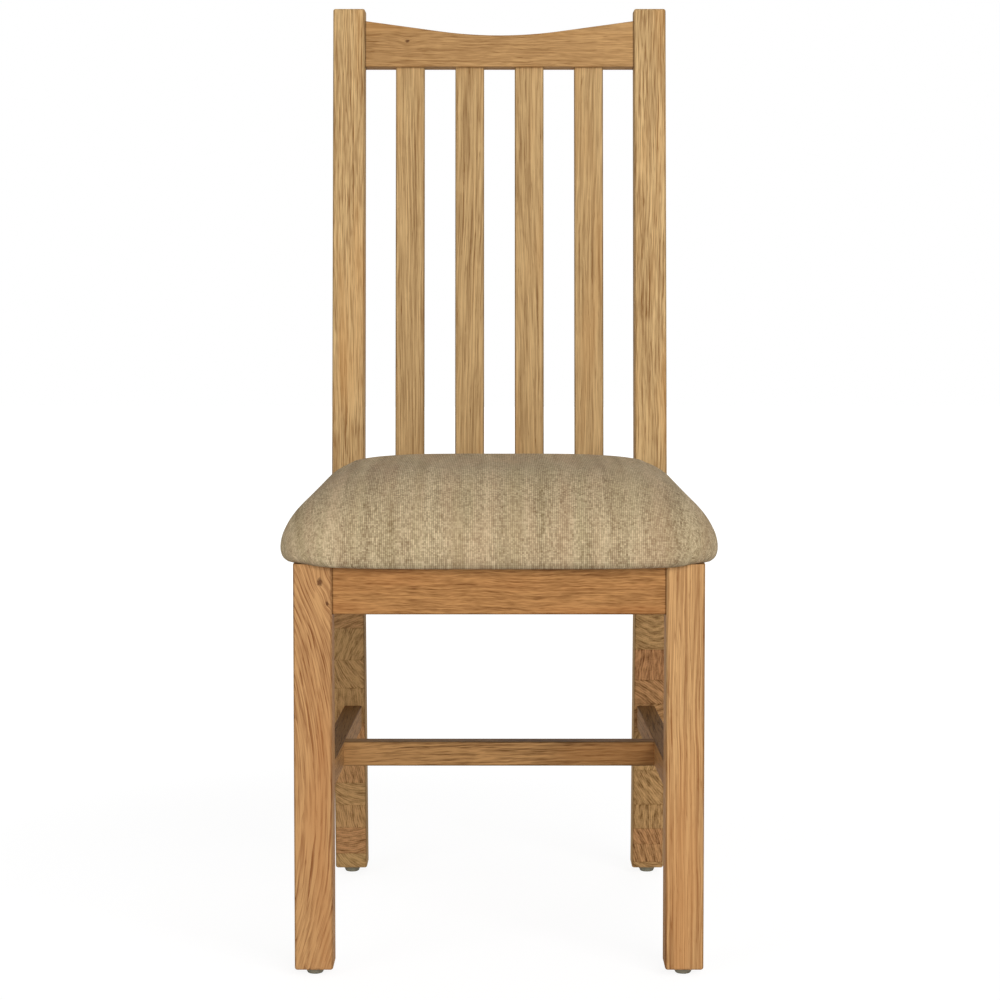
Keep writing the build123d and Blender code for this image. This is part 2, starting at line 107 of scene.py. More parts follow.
class Finish:
    """One material under construction."""

    def __init__(self, name):
        self.material = bpy.data.materials.new(name)
        self.material.use_nodes = True
        self.tree = self.material.node_tree
        self.tree.nodes.clear()

    def node(self, kind, settings=None, sockets=None, out=0):
        """Adds a node: its settings first, then the values or links of its sockets."""
        made = self.tree.nodes.new(kind)
        for key, value in (settings or {}).items():
            if key == "stops":
                self.set_stops(made.color_ramp, value)
            else:
                setattr(made, key, value)
        for key, value in (sockets or {}).items():
            if isinstance(value, Value):
                self.tree.links.new(value.socket, made.inputs[key])
            else:
                made.inputs[key].default_value = value
        return Value(self, made.outputs[out]) if made.outputs else made

    @staticmethod
    def set_stops(ramp, stops):
        while len(ramp.elements) < len(stops):
            ramp.elements.new(0.5)
        for element, (place, colour) in zip(ramp.elements, stops):
            element.position = place
            element.color = colour

    def sum(self, operation, *terms):
        return self.node("ShaderNodeMath", {"operation": operation}, dict(enumerate(terms)))

    def clamp(self, value):
        return self.node("ShaderNodeClamp", None, {0: value})

    def smooth(self, value, low, high):
        """0 below low, 1 above high, and a smooth step between them."""
        settings = {"interpolation_type": "SMOOTHSTEP"}
        return self.node("ShaderNodeMapRange", settings, {0: value, 1: low, 2: high})

    def parts(self, vector):
        first = self.node("ShaderNodeSeparateXYZ", None, {0: vector})
        made = first.socket.node
        return [Value(self, made.outputs[i]) for i in range(3)]

    def vector(self, x, y, z):
        return self.node("ShaderNodeCombineXYZ", None, {0: x, 1: y, 2: z})

    def place(self):
        return self.node("ShaderNodeTexCoord", None, None, "Object")

    def noise(self, vector, scale=1.0, detail=2.0, roughness=0.5, distortion=0.0):
        """Noise from 0 to 1, 0.5 on average."""
        sockets = {
            "Vector": vector,
            "Scale": scale,
            "Detail": detail,
            "Roughness": roughness,
            "Distortion": distortion,
        }
        return self.node("ShaderNodeTexNoise", None, sockets, "Fac")

    def random(self, value):
        """A random number from 0 to 1 for each different value."""
        return self.node("ShaderNodeTexWhiteNoise", {"noise_dimensions": "1D"}, {"W": value}, "Value")

    def mix(self, factor, first, second, blend="MIX"):
        settings = {"data_type": "RGBA", "blend_type": blend}
        return self.node("ShaderNodeMix", settings, {0: factor, 6: first, 7: second}, 2)

    def grey(self, value):
        """A value as a grey colour, to multiply another colour by."""
        return self.node("ShaderNodeCombineColor", None, {0: value, 1: value, 2: value})

    def bump(self, height, distance, strength=1.0):
        sockets = {"Height": height, "Distance": distance, "Strength": strength}
        return self.node("ShaderNodeBump", None, sockets)

    def done(self, sockets):
        """Puts the Principled shader on the output, with its sockets."""
        shader = self.node("ShaderNodeBsdfPrincipled", None, sockets)
        self.node("ShaderNodeOutputMaterial", None, {"Surface": shader})
        return self.material


def tone(red, green, blue):
    """A colour given as it looks on a screen, from 0 to 255, in the renderer's light values."""

    def light(channel):
        share = channel / 255
        return share / 12.92 if share <= 0.04045 else ((share + 0.055) / 1.055) ** 2.4

    return (light(red), light(green), light(blue), 1.0)


# Oak


def oak(name, low, high, along, tones, seed, slope=0.0, bow=0.0, ring=3.0, figure=0.2, streak=1.0,
        wavy=0.0, long=1.0, shoulder=None, knots=(), bent=False, blocks=False, top=0.0,
        light=0.0, fade=0.0, block_light=0.0):
    """Lacquered oak on one piece, with its grain along an axis.

    slope and bow say how the grain runs off that axis; wavy is how far it wanders, in mm;
    long stretches the fibres.
    shoulder is how far from the middle a joint shows as a dark line, a glue line with painted shade
    where the parts meet;
    top paints shade on the upper face, where the seat above shades it.
    light makes the piece paler, and fade paints light on it, paler towards its right or upper end;
    block_light makes the glued-up blocks of a bent leg paler, also painted light.
    knots are (across, along, radius) from the middle of the piece, in metres."""
    finish = Finish(name)
    x, y, z = finish.parts(finish.place())
    middle = (low + high) / 2
    half = (high - low) / 2
    height = z
    if bent:
        y, half_deep = bent_depth(finish, y, z)
    else:
        y, half_deep = y - middle.y, half.y
    x, z = x - middle.x, z - middle.z
    if along == "Z" and not bent and low.z > FRAME_TOP - 20 * MM:
        y, half_deep = y - z * BACK_LEAN, half_deep - half.z * BACK_LEAN
    across, deep, length, half_across, half_deep = {
        "X": (z, y, x, half.z, half_deep),
        "Y": (x, z, y, half.x, half.z),
        "Z": (x, y, z, half.x, half_deep),
    }[along]
    edge = rounded_edge_shade_mask(finish, across, deep, half_across, half_deep)
    half_length = {"X": half.x, "Y": half.y, "Z": half.z}[along]
    # the ramp is painted light along the piece; light adds an even paler tone
    paler = length * (fade / half_length) + light

    drift = finish.noise(finish.vector(length * 5.0, seed, 0.0), detail=3.0) - 0.5
    wander = finish.noise(finish.vector(across * 25.0, seed, length * 45.0), detail=2.0) - 0.5
    knot_pull, knot_core = knot_fields(finish, across, length, knots)
    grain = across + length * slope + length * length * bow + drift * 0.01
    grain = grain + wander * (wavy * 2 * MM) + knot_pull

    sway = finish.noise(finish.vector(across * 14.0, deep * 14.0, length * 7.0 + seed * 3.1)) - 0.5
    u = grain + sway * 0.005 + half_across * 1.7
    v = deep + sway * 0.008 + 0.045 + seed % 3 * 0.01
    wobble = finish.noise(finish.vector(across * 60.0, deep * 60.0, length * 14.0 + seed)) - 0.5
    phase = (u * u + v * v) ** 0.5 / (ring * MM) + wobble * 1.5
    patchy = finish.noise(finish.vector(across * 110.0, seed * 5.1, length * 26.0), detail=2.0)
    early = (1.0 - finish.sum("FRACT", phase)) ** 2.2 * finish.smooth(patchy, 0.3, 0.62)
    ring_number = finish.sum("FLOOR", phase) + seed * 7.0
    ring_tone = finish.random(ring_number)

    coarse_place = finish.vector(grain * 480.0, deep * 480.0, length * (10.0 / long) + seed)
    coarse = finish.noise(coarse_place, detail=1.5, roughness=0.6) - 0.5
    fine_place = finish.vector(grain * 900.0, deep * 900.0, length * (34.0 / long) + seed)
    fine = finish.noise(fine_place, detail=1.0, roughness=0.6) - 0.5
    pore_place = finish.vector(grain * 950.0, deep * 950.0, length * 70.0 + seed * 1.3)
    pore = finish.smooth(finish.noise(pore_place, detail=1.0), 0.58, 0.74)
    cloud = finish.noise(finish.vector(across * 22.0, seed * 1.7, length * 3.5), detail=3.0) - 0.5
    fleck_place = finish.vector(across * 90.0, deep * 240.0, length * 45.0 + seed)
    fleck = finish.smooth(finish.noise(fleck_place, detail=2.0), 0.6, 0.75)

    depth = cloud * 0.7 + (early - 0.3) * (0.5 + ring_tone) * figure
    depth = depth + coarse * (streak * 1.7) + fine * (streak * 1.5) + 0.4 - paler
    depth = finish.clamp(depth + pore * (0.16 + early * 0.25) - fleck * 0.1)
    pale, dark, warm = tones
    colour = finish.mix(depth, pale, dark)
    blush = finish.noise(finish.vector(across * 34.0, seed * 2.3, length * 4.0), detail=2.0)
    colour = finish.mix(finish.smooth(blush, 0.45, 0.72) * 0.5, colour, warm)
    if blocks:
        on_front = front_below_seat(finish, height)
        # block_light makes the blocks paler: painted light where the leg lies in shade
        colour = finish.mix(on_front, colour, block_colour(finish, across, height, seed, block_light))
    if knots:
        colour = finish.mix(knot_core * 0.85, colour, tone(92, 56, 34))
    # painted shade: the rounded long edges are darkened
    shade = 1.0 - edge * 0.5
    # painted shade on the upper faces, which lie in the seat's shadow
    if top:
        up = finish.parts(finish.node("ShaderNodeNewGeometry", None, None, "Normal"))[2]
        shade = shade * (1.0 - finish.smooth(up, 0.5, 0.9) * top)
    # a dark line at the joint: a glue line with painted shade where the piece meets the leg
    if shoulder:
        near = 1.0 - finish.smooth(abs(abs(length) - shoulder), 0.4 * MM, 1.9 * MM)
        shade = shade * (1.0 - near * 0.6)
    colour = finish.mix(1.0, colour, finish.grey(shade), "MULTIPLY")
    relief = coarse * 0.5 + fine * 0.5 - pore * 0.7 - early * 0.3
    return finish.done({
        "Base Color": colour,
        "Roughness": 0.5 + pore * 0.2 + cloud * 0.1 - edge * 0.06,
        "Normal": finish.bump(relief, 0.00022, 0.55),
        "Specular IOR Level": 0.06,
    })


def bent_depth(finish, y, z):
    """How far a point of a rear leg is from the middle of its bent thickness."""
    splay = FOOT_SPLAY / (BEND_LOW - REAR_LEG_LOW.z)
    below = finish.sum("MAXIMUM", BEND_LOW - z, 0.0)
    above = finish.sum("MAXIMUM", z - BEND_HIGH, 0.0)
    thinning = POST_THINNING / (REAR_LEG_HIGH.z - BEND_HIGH)
    thickness = POST_DEPTH - above * thinning - below * FOOT_THINNING
    front = below * splay + above * BACK_LEAN + POST_FACE
    return y - front - thickness * 0.5, thickness * 0.5


def rounded_edge_shade_mask(finish, across, deep, half_across, half_deep):
    """1 on the rounded long edges of a piece, where painted shade darkens the colour."""
    wide = 2.4 * MM
    near_side = finish.smooth(abs(across), half_across - wide, half_across)
    near_face = finish.smooth(abs(deep) - half_deep, -wide, 0.0)
    return near_side * near_face


def knot_fields(finish, across, length, knots):
    """How far the knots push the grain aside, and the dark of their cores."""
    pull, core = 0.0, 0.0
    for place_across, place_along, size in knots:
        out = across - place_across
        up = (length - place_along) * 0.7
        far = (out * out + up * up) ** 0.5
        pull = pull + 1.0 / (1.0 + (far / (size * 2.2)) ** 2.0) * (size * 1.8)
        ragged = finish.noise(finish.vector(across * 500.0, 0.0, length * 400.0), detail=2.0)
        core = core + 1.0 - finish.smooth(far / size + (ragged - 0.5) * 0.9, 0.35, 0.95)
    return pull, core


def front_below_seat(finish, height):
    """1 on the front face of a rear leg below the seat."""
    facing = finish.parts(finish.node("ShaderNodeNewGeometry", None, None, "Normal"))[1]
    return finish.smooth(-facing, 0.55, 0.85) * (1.0 - finish.smooth(height, 0.40, 0.42))


def block_colour(finish, across, height, seed, paler):
    """The glued-up blocks of a rear leg: each has its own tone and its own run of growth lines."""
    uneven = finish.noise(finish.vector(height * 9.0, seed, 0.0), detail=1.0)
    count = height / 0.034 + uneven * 2.6 + seed
    number = finish.sum("FLOOR", count)
    inside = finish.sum("FRACT", count)
    turn = (finish.random(number) - 0.5) * 3.0
    pick = finish.random(number + 0.37)
    wave = finish.noise(finish.vector(across * 45.0, height * 45.0, number), detail=2.0) - 0.5
    line = across * finish.sum("COSINE", turn) + height * finish.sum("SINE", turn)
    line = line + across * across * (pick - 0.5) * 40.0
    aside = height * finish.sum("COSINE", turn) - across * finish.sum("SINE", turn)
    broad = finish.sum("SINE", line * (2 * math.pi / 0.0095) + wave * 12.0)
    close = finish.sum("SINE", line * (2 * math.pi / 0.0024) + wave * 14.0)
    hatch = finish.noise(finish.vector(line * 620.0, aside * 90.0, number), detail=1.0) - 0.5
    grit = finish.noise(finish.vector(across * 700.0, height * 700.0, seed), detail=1.0) - 0.5
    seam = finish.smooth(abs(inside - 0.5), 0.45, 0.5)
    depth = broad * 0.18 + close * (0.05 + finish.random(number + 0.71) * 0.12) + hatch * 1.7
    # paler lifts the blocks' tone: painted light
    depth = finish.clamp(depth + grit * 0.5 + wave * 0.5 + seam * 0.2 + 0.42 - paler)
    light = finish.mix(pick, tone(200, 162, 108), tone(202, 146, 98))
    deep = finish.mix(pick, tone(118, 86, 48), tone(106, 66, 38))
    return finish.mix(depth, light, deep)


# Cloth


def woven_cloth(name):
    """Oatmeal linen-look plain weave with slubs; the attribute "weave" holds its flat coordinates and
    a painted shade mask.
    """
    finish = Finish(name)
    flat = finish.node("ShaderNodeAttribute", {"attribute_name": "weave"}, None, "Vector")
    u, v, low_edge_shade = finish.parts(flat)
    warp_pitch, weft_pitch = 1.9 * MM, 1.65 * MM
    bend = finish.noise(finish.vector(u * 18.0, v * 9.0, 0.0), detail=2.0) - 0.5
    wiggle = finish.noise(finish.vector(u * 260.0, v * 120.0, 3.0), detail=1.0) - 0.5
    warp = u / warp_pitch + bend * 0.9 + wiggle * 0.5
    weft = v / weft_pitch + bend * 0.8 + wiggle * 0.4
    warp_number, weft_number = finish.sum("FLOOR", warp), finish.sum("FLOOR", weft)
    warp_round = abs(finish.sum("SINE", warp * math.pi))
    weft_round = abs(finish.sum("SINE", weft * math.pi))
    cell = finish.random(warp_number * 0.173 + weft_number * 1.311)
    slub_place = finish.vector(warp_number * 3.7, v * 85.0, 0.0)
    slub = finish.noise(slub_place, detail=3.0, roughness=0.65) - 0.5
    cross_place = finish.vector(u * 85.0, weft_number * 2.3, 4.0)
    cross_slub = finish.noise(cross_place, detail=3.0, roughness=0.65) - 0.5
    ribbon = finish.noise(finish.vector(u * 62.0, v * 3.0, 2.0), detail=3.0, roughness=0.6) - 0.5
    blush = finish.noise(finish.vector(u * 34.0, v * 5.0, 9.0), detail=2.0)
    olive = finish.noise(finish.vector(u * 40.0, v * 4.0, 17.0), detail=2.0)
    fuzz = finish.noise(finish.vector(u * 1800.0, v * 1800.0, 0.0), detail=2.0) - 0.5

    light = slub * 1.2 + cross_slub * 0.45 + ribbon * 0.9 + (cell - 0.5) * 0.45 + fuzz * 0.5
    # warp_round and weft_round also paint shade into the gaps between the threads
    light = finish.clamp(light + warp_round * 0.5 + weft_round * 0.16 + 0.1)
    colour = finish.mix(light, tone(126, 102, 70), tone(222, 201, 162))
    colour = finish.mix(finish.smooth(blush, 0.4, 0.66) * 0.22, colour, tone(200, 160, 126))
    colour = finish.mix(finish.smooth(olive, 0.45, 0.7) * 0.2, colour, tone(164, 150, 106))
    # painted shade along the pad's lower edge, where it turns under onto the frame
    colour = finish.mix(1.0, colour, finish.grey(1.0 - low_edge_shade * 0.3), "MULTIPLY")
    relief = warp_round * 0.6 + weft_round * 0.4 + slub * 1.1 + cross_slub * 0.6 + cell * 0.3
    return finish.done({
        "Base Color": colour,
        "Roughness": 0.9 + slub * 0.12,
        "Normal": finish.bump(relief, 0.0005, 0.8),
        "Specular IOR Level": 0.12,
        "Sheen Weight": 0.04,
        "Sheen Roughness": 0.6,
    })


def black_cloth(name):
    """Thin non-woven cloth with its pressed dot pattern."""
    finish = Finish(name)
    x, y, _ = finish.parts(finish.place())
    pitch = 1.6 * MM
    dots = finish.sum("SINE", (x + y) * (math.pi / pitch)) * finish.sum(
        "SINE", (x - y) * (math.pi / pitch)
    )
    pressed = finish.smooth(dots, 0.25, 0.75)
    hair = finish.noise(finish.vector(x * 900.0, y * 900.0, 0.0), detail=3.0, distortion=1.5)
    colour = finish.mix(finish.clamp(hair * 0.9 - pressed * 0.3), tone(18, 18, 19), tone(52, 52, 54))
    return finish.done({
        "Base Color": colour,
        "Roughness": 0.8 - pressed * 0.2,
        "Normal": finish.bump(hair * 0.6 - pressed, 0.0002, 0.6),
    })


# Hardware and inner pieces


def plain_steel(name, colour, rough=0.34):
    """Zinc-plated steel, slightly blotched."""
    finish = Finish(name)
    blotch = finish.noise(finish.place(), 260.0, 3.0, 0.6)
    scratch = finish.noise(finish.place(), 1500.0, 2.0)
    shade = finish.mix(finish.smooth(blotch, 0.35, 0.7), colour, tone(150, 146, 132))
    return finish.done({
        "Base Color": shade,
        "Metallic": 1.0,
        "Roughness": rough + (blotch - 0.5) * 0.25,
        "Normal": finish.bump(scratch, 0.00006, 0.5),
    })


def grey_plastic(name):
    """Moulded glide plastic, scuffed where it slides."""
    finish = Finish(name)
    x, y, z = finish.parts(finish.place())
    grain = finish.noise(finish.vector(x, y, z), 2200.0, 2.0)
    scuff = finish.noise(finish.vector(x * 900.0, y * 160.0, z), detail=3.0)
    worn = finish.smooth(scuff, 0.5, 0.65) * (1.0 - finish.smooth(z, 0.0004, 0.003))
    colour = finish.mix(worn, tone(150, 147, 128), tone(100, 97, 86))
    return finish.done({
        "Base Color": colour,
        "Roughness": 0.5 + grain * 0.12 + worn * 0.2,
        "Normal": finish.bump(grain + worn, 0.00008, 0.5),
    })


def plywood(name, low):
    """Plywood: veneer grain on the faces, plies on the edges."""
    finish = Finish(name)
    x, y, z = finish.parts(finish.place())
    ply = (z - low.z) / (1.7 * MM)
    odd = finish.sum("FLOOR", ply)
    turn = finish.sum("FRACT", odd * 0.5) * 2.0
    grain = finish.noise(finish.vector(x * 40.0, y * 500.0, odd), detail=3.0)
    end = finish.noise(finish.vector(x * 700.0, y * 700.0, odd), detail=2.0)
    colour = finish.mix(finish.clamp(grain * 0.8 + turn * 0.35 * end), tone(206, 178, 134),
                        tone(158, 124, 82))
    return finish.done({
        "Base Color": colour,
        "Roughness": 0.72 + grain * 0.1,
        "Normal": finish.bump(grain, 0.0002, 0.5),
    })


def open_foam(name):
    """Yellowish cut foam with open cells."""
    finish = Finish(name)
    place = finish.place()
    cells = finish.node("ShaderNodeTexVoronoi", None, {"Vector": place, "Scale": 900.0}, "Distance")
    tint = finish.noise(place, 30.0, 2.0)
    colour = finish.mix(tint * 0.6, tone(228, 214, 170), tone(206, 186, 134))
    return finish.done({
        "Base Color": colour,
        "Roughness": 0.95 - cells * 0.1,
        "Normal": finish.bump(cells, 0.0006, 0.8),
    })


# Meshes


def mesh_object(name, bm):
    mesh = bpy.data.meshes.new(name)
    bm.to_mesh(mesh)
    bm.free()
    made = bpy.data.objects.new(name, mesh)
    bpy.context.scene.collection.objects.link(made)
    return made


def set_material(thing, material):
    thing.data.materials.clear()
    thing.data.materials.append(material)


# Seat pad: the same crowned form as the frame's, from its widest line in to the crown
PAD_FRONT, PAD_REAR = COVER_LOW.y, COVER_HIGH.y
PAD_HALF_FRONT = COVER_HIGH.x + 2.3 * MM
PAD_TAPER = 11.5 / 390.0  # how fast the sides close towards the back
PAD_SHOULDER = FRAME_TOP + 12 * MM
TURN_UNDER = 11 * MM
PAD_CROWN = COVER_HIGH.z
CROWN_RUN = 110 * MM
REAR_SHARE = 0.64
PAD_POWER = 1.92
FRONT_RADIUS, REAR_RADIUS = 42 * MM, 30 * MM
PAD_SHRINK = 3.0 * MM  # how much smaller the pad starts than it ends
UNDERSIDE_INSET = 28 * MM
VOXEL = 5.5 * MM
CLOTH_THICKNESS = 1.2 * MM
LIP_DROP, LIP_RISE, LIP_HALF_WIDTH = 4.6, 4.3, 205 * MM  # the sag of the front edge, in mm


def pad_ring(inset, height, count):
    """Points round the pad at one height, inset from its widest line."""
    rear_inset = inset * REAR_SHARE
    y_front, y_rear = PAD_FRONT + inset, PAD_REAR - rear_inset
    x_front = PAD_HALF_FRONT - inset
    x_rear = PAD_HALF_FRONT - (PAD_REAR - PAD_FRONT) * PAD_TAPER - rear_inset
    corners = [
        (Vector((x_front, y_front)), FRONT_RADIUS + inset * 0.35),
        (Vector((x_rear, y_rear)), REAR_RADIUS + inset * 0.5),
        (Vector((-x_rear, y_rear)), REAR_RADIUS + inset * 0.5),
        (Vector((-x_front, y_front)), FRONT_RADIUS + inset * 0.35),
    ]
    outline = []
    for i, (corner, radius) in enumerate(corners):
        back = (corners[i - 1][0] - corner).normalized()
        ahead = (corners[(i + 1) % 4][0] - corner).normalized()
        half_angle = math.acos(max(-1.0, min(1.0, back.dot(ahead)))) / 2
        reach = radius / math.tan(half_angle)
        centre = corner + (back + ahead).normalized() * (radius / math.sin(half_angle))
        start, end = corner + back * reach - centre, corner + ahead * reach - centre
        sweep = start.angle_signed(end)
        for step in range(13):
            turn = -sweep * step / 12
            spun = Vector((
                start.x * math.cos(turn) - start.y * math.sin(turn),
                start.x * math.sin(turn) + start.y * math.cos(turn),
            ))
            outline.append(centre + spun)
    return even_ring(outline, height, count)


def even_ring(outline, height, count):
    """Points evenly spaced round a closed outline."""
    sides = [(outline[i - 1], outline[i]) for i in range(1, len(outline))]
    sides.append((outline[-1], outline[0]))
    lengths = [(b - a).length for a, b in sides]
    total = sum(lengths)
    ring, side, passed = [], 0, 0.0
    for i in range(count):
        want = total * i / count
        while passed + lengths[side] < want:
            passed += lengths[side]
            side += 1
        a, b = sides[side]
        share = (want - passed) / lengths[side]
        point = a + (b - a) * share
        ring.append((point.x, point.y, height))
    return ring


def crown_profile(steps):
    """(inset, height above the shoulder) from the widest line to the flat of the crown."""
    rise = PAD_CROWN - PAD_SHOULDER
    for step in range(steps + 1):
        turn = math.radians(90 * step / steps)
        inset = CROWN_RUN * (1 - max(math.cos(turn), 0) ** (2 / PAD_POWER))
        yield inset, rise * math.sin(turn) ** (2 / PAD_POWER)


def pad_mesh(shrink):
    """The pad's closed form, a little smaller all round than its final shape."""
    count = 120
    rings = [pad_ring(UNDERSIDE_INSET, FRAME_TOP, count)]
    for turn in (80, 50, 25):
        angle = math.radians(turn)
        inset = TURN_UNDER * (1 - math.cos(angle)) + shrink
        height = PAD_SHOULDER - (PAD_SHOULDER - FRAME_TOP) * math.sin(angle)
        rings.append(pad_ring(inset, max(height, FRAME_TOP), count))
    rise = PAD_CROWN - PAD_SHOULDER
    for inset, height in crown_profile(16):
        rings.append(pad_ring(inset + shrink, PAD_SHOULDER + height * (1 - shrink / rise), count))
    bm = bmesh.new()
    loops = [[bm.verts.new(p) for p in ring] for ring in rings]
    for low, high in zip(loops, loops[1:]):
        for i in range(count):
            j = (i + 1) % count
            bm.faces.new((low[i], low[j], high[j], high[i]))
    bm.faces.new(reversed(loops[0]))
    bm.faces.new(loops[-1])
    bmesh.ops.recalc_face_normals(bm, faces=bm.faces)
    return mesh_object("seat_cover_cloth", bm)


def only(thing):
    bpy.ops.object.select_all(action="DESELECT")
    thing.select_set(True)
    bpy.context.view_layer.objects.active = thing


def inflate(pad, shrink):
    """Blows the pad up as cloth, held along its underside, and brings it out to its full size."""
    remesh = pad.modifiers.new("even", "REMESH")
    remesh.mode = "VOXEL"
    remesh.voxel_size = VOXEL
    only(pad)
    bpy.ops.object.modifier_apply(modifier=remesh.name)
    start = [v.co.copy() for v in pad.data.vertices]
    normals = [v.normal.copy() for v in pad.data.vertices]
    blow_up(pad)
    swell = [(v.co - first).dot(normal) for v, first, normal in zip(pad.data.vertices, start, normals)]
    loose = [out for out, first in zip(swell, start) if first.z > FRAME_TOP + 10 * MM]
    average = sum(loose) / len(loose)
    for v, first, normal, out in zip(pad.data.vertices, start, normals, swell):
        side = v.co - first - normal * out
        side = side * min(1.0, 1.5 * MM / max(side.length, 1e-9))
        free = min(1.0, max(0.0, (first.z - FRAME_TOP) / (2.5 * MM)))
        more = max(-0.3 * MM, min(out - average, 0.8 * MM))
        v.co = first + side * free + normal * (shrink + more) * free


def blow_up(pad):
    held = pad.vertex_groups.new(name="held")
    for v in pad.data.vertices:
        if v.co.z < FRAME_TOP + 4 * MM:
            held.add([v.index], 1.0, "REPLACE")
    cloth = pad.modifiers.new("cloth", "CLOTH")
    settings = cloth.settings
    settings.vertex_group_mass = held.name
    settings.quality = 6
    settings.mass = 0.3
    settings.tension_stiffness = 8
    settings.compression_stiffness = 8
    settings.shear_stiffness = 4
    settings.bending_stiffness = 0.6
    settings.use_pressure = True
    settings.uniform_pressure_force = 6.0
    settings.effector_weights.gravity = 0.0
    cloth.collision_settings.use_collision = False
    scene = bpy.context.scene
    for number in range(1, 21):
        scene.frame_set(number)
    bpy.ops.object.modifier_apply(modifier=cloth.name)
    scene.frame_set(1)


def front_lip(x):
    """How far the pad's front edge sags below the frame, in front of the legs and the rail."""
    return (LIP_DROP - LIP_RISE * min(1.0, abs(x) / LIP_HALF_WIDTH) ** 5) * MM


def sag_front(pad):
    for v in pad.data.vertices:
        v.co.z = max(v.co.z, FRAME_TOP + 0.05 * MM)
        ahead = min(1.0, max(0.0, (FRONT_FACE - 0.8 * MM - v.co.y) / (4.5 * MM)))
        low = 1.0 - min(1.0, (v.co.z - FRAME_TOP) / (15 * MM))
        ease = ahead * ahead * (3 - 2 * ahead) * low * low * (3 - 2 * low)
        v.co.z -= front_lip(v.co.x) * ease


def unrolled_drop():
    """How much longer the cloth's surface is than its plan, by height above the shoulder."""
    table = []
    points = list(crown_profile(40))
    extra = 0.0
    for (inset_a, high_a), (inset_b, high_b) in reversed(list(zip(points, points[1:]))):
        run, rise = inset_b - inset_a, high_b - high_a
        extra += math.hypot(run, rise) - run
        table.append((PAD_SHOULDER + high_a, extra))
    return table


def add_weave(pad):
    """Flat cloth coordinates on every point: x and y plus what the drop of the sides adds, then a
    painted shade mask for the lower edge.
    """
    table = unrolled_drop()
    mesh = pad.data
    weave = mesh.attributes.new("weave", "FLOAT_VECTOR", "POINT")
    for v in mesh.vertices:
        extra = 0.0
        for height, value in table:
            if v.co.z > height:
                break
            extra = value
        if v.co.z < PAD_SHOULDER:
            extra += PAD_SHOULDER - v.co.z
        way = Vector((v.normal.x, v.normal.y))
        way = way.normalized() if way.length > 1e-4 else Vector((0.0, 0.0))
        # the third value: 1 on the pad's lower edge, the mask of painted shade there
        low = 1.0 - min(1.0, max(0.0, (v.co.z - FRAME_TOP + 4 * MM) / (10 * MM)))
        weave.data[v.index].vector = (v.co.x + way.x * extra, v.co.y + way.y * extra, low)


def open_underside(pad):
    """Cuts the middle out of the underside, inside the hem."""
    bm = bmesh.new()
    bm.from_mesh(pad.data)
    half_low = DUST_HIGH.x
    lines = [
        ((0, DUST_LOW.y), (0, -1)),
        ((0, DUST_HIGH.y), (0, 1)),
        ((half_low, DUST_LOW.y), (1, PAD_TAPER)),
        ((-half_low, DUST_LOW.y), (-1, PAD_TAPER)),
    ]
    for (x, y), (nx, ny) in lines:
        flat = [f for f in bm.faces if f.calc_center_median().z < FRAME_TOP + 1.5 * MM]
        geometry = set(flat) | {e for f in flat for e in f.edges} | {v for f in flat for v in f.verts}
        bmesh.ops.bisect_plane(
            bm, geom=list(geometry), plane_co=(x, y, 0), plane_no=(nx, ny, 0), dist=1e-6
        )
    inside = []
    for f in bm.faces:
        c = f.calc_center_median()
        across = half_low - (c.y - DUST_LOW.y) * PAD_TAPER
        if c.z < FRAME_TOP + 1.5 * MM and DUST_LOW.y < c.y < DUST_HIGH.y and abs(c.x) < across:
            inside.append(f)
    bmesh.ops.delete(bm, geom=inside, context="FACES")
    bm.to_mesh(pad.data)
    bm.free()


def make_cover():
    pad = pad_mesh(PAD_SHRINK)
    inflate(pad, PAD_SHRINK)
    level = pad.modifiers.new("even", "SUBSURF")
    level.levels = level.render_levels = 1
    only(pad)
    bpy.ops.object.modifier_apply(modifier=level.name)
    sag_front(pad)
    add_weave(pad)
    open_underside(pad)
    cloth = pad.modifiers.new("thickness", "SOLIDIFY")
    cloth.thickness = CLOTH_THICKNESS
    cloth.offset = -1.0
    only(pad)
    bpy.ops.object.modifier_apply(modifier=cloth.name)
    pad.data.shade_smooth()
    set_material(pad, woven_cloth("linen_weave"))
    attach(pad, "root")
    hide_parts("seat_cover", "seat_wadding")


def make_dust_cover():
    """Black cloth stretched under the board, slightly slack between its staples."""
    bm = bmesh.new()
    columns, rows = 60, 56
    depth = DUST_HIGH.y - DUST_LOW.y
    top = DUST_HIGH.z - 0.05 * MM
    grid = []
    for row in range(rows + 1):
        y = DUST_LOW.y + depth * row / rows
        half = DUST_HIGH.x - (y - DUST_LOW.y) * PAD_TAPER
        line = []
        for column in range(columns + 1):
            s = 2 * column / columns - 1
            t = 2 * row / rows - 1
            inner = (1 - s**6) * (1 - t**6)
            wave = math.sin(9 * s + 2 * t) * math.sin(7 * t - s)
            sag = inner * (0.9 + 0.35 * wave) * MM
            line.append(bm.verts.new((s * half, y, top - 0.35 * MM - sag)))
        grid.append(line)
    for low, high in zip(grid, grid[1:]):
        for i in range(columns):
            bm.faces.new((low[i], high[i], high[i + 1], low[i + 1]))
    cloth = mesh_object("underside_cloth", bm)
    skin = cloth.modifiers.new("thickness", "SOLIDIFY")
    skin.thickness = 0.3 * MM
    only(cloth)
    bpy.ops.object.modifier_apply(modifier=skin.name)
    cloth.data.shade_smooth()
    set_material(cloth, black_cloth("black_cloth"))
    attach(cloth, "root")
    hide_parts("dust_cover")


# The wood of each piece

